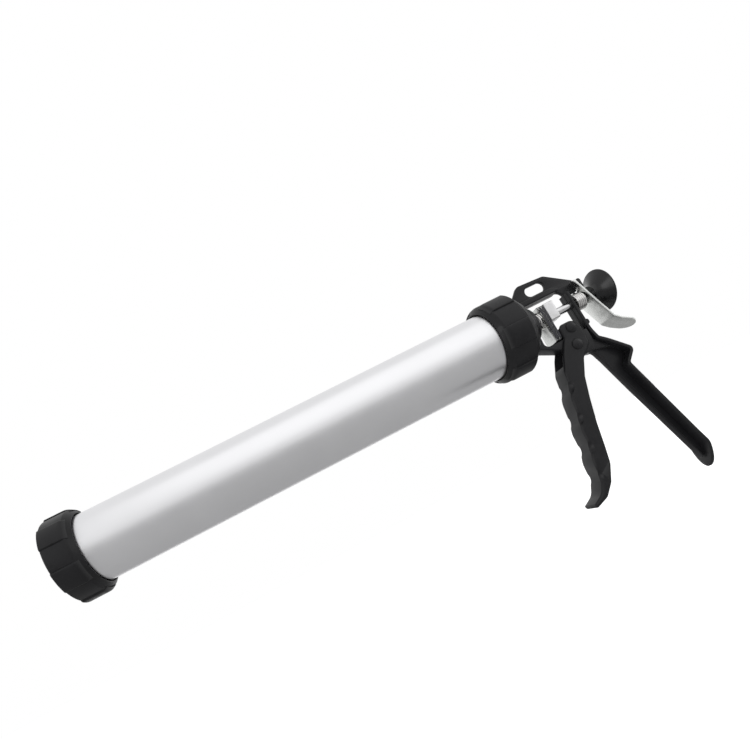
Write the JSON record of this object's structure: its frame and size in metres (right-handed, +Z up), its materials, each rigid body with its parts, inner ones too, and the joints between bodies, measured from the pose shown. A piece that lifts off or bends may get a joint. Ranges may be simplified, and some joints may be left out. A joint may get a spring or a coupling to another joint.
{
  "type": "caulking gun",
  "caption": "Sausage caulking gun: satin aluminium tube barrel with black screw cap and collar, black slotted frame and handle, curved trigger, grip plates, release plate, and rod with a trumpet pull knob.",
  "frame": {"origin": "middle of the hand grip, on the handle's centre plane", "axes": "+X rearwards along the barrel axis, +Y away from the trigger hand's near side, +Z up with the gun upright in use"},
  "size_m": [0.4832, 0.0678, 0.202],
  "materials": {
    "satin_aluminium": "satin anodised",
    "black_plastic": "moulded, fine texture",
    "black_paint": "satin black powder coat",
    "zinc_plate": "bright zinc plate",
    "bright_steel": "bright drawn",
    "white_nylon": "moulded",
    "black_rubber": "matte"
  },
  "bodies": {
    "body": {"barrel_tube": "satin_aluminium", "frame": "black_paint", "pivot_bush": "bright_steel", "return_spring": "bright_steel", "release_spring": "bright_steel"},
    "collar": {"rear_collar": "black_plastic"},
    "gasket": {"cap_gasket": "black_rubber"},
    "cap": {"front_cap": "black_plastic"},
    "trigger_lever": {"trigger": "black_paint", "pivot_pin": "black_paint", "drive_pin": "black_paint", "trigger_spacer": "bright_steel"},
    "drive": {"grip_plate_front": "zinc_plate", "grip_plate_rear": "zinc_plate", "drive_block": "bright_steel"},
    "release": {"release_plate": "zinc_plate"},
    "plunger": {"rod": "bright_steel", "knob": "black_plastic", "knob_nut": "zinc_plate", "piston_front_nut": "zinc_plate", "piston_front_washer": "zinc_plate", "piston_disc": "white_nylon", "piston_cup": "black_rubber", "piston_rear_washer": "zinc_plate", "piston_rear_nut": "zinc_plate"}
  },
  "joints": [
    {"name": "rod_slide", "type": "slide", "parent": "body", "child": "plunger", "axis": [1, 0, 0], "range_m": [0, 0.315]},
    {"name": "trigger_squeeze", "type": "hinge", "parent": "body", "child": "trigger_lever", "pos_m": [-0.0298, 0, 0.0729], "axis": [0, -1, 0], "range_deg": [0, 26], "stiffness_Nm_per_rad": 1, "springref_deg": -11.46},
    {"name": "drive_slide", "type": "slide", "parent": "body", "child": "drive", "axis": [-1, 0, 0], "range_m": [0, 0.0066], "deforming": ["return_spring"]},
    {"name": "release_press", "type": "hinge", "parent": "body", "child": "release", "pos_m": [-0.0015, 0, 0.116], "axis": [0, 1, 0], "range_deg": [0, 8], "stiffness_Nm_per_rad": 0.3, "springref_deg": -8.59, "deforming": ["release_spring"]},
    {"name": "cap_pull", "type": "slide", "parent": "body", "child": "gasket", "axis": [-1, 0, 0], "range_m": [0, 0.06]},
    {"name": "cap_turn", "type": "hinge", "parent": "gasket", "child": "cap", "pos_m": [-0.432, 0, 0.105], "axis": [1, 0, 0], "continuous": true},
    {"name": "collar_turn", "type": "hinge", "parent": "body", "child": "collar", "pos_m": [-0.082, 0, 0.105], "axis": [1, 0, 0], "continuous": true}
  ],
  "couplings": [
    {"joint": "drive_slide", "follows": "trigger_squeeze", "m_per_rad": 0.0145}
  ]
}
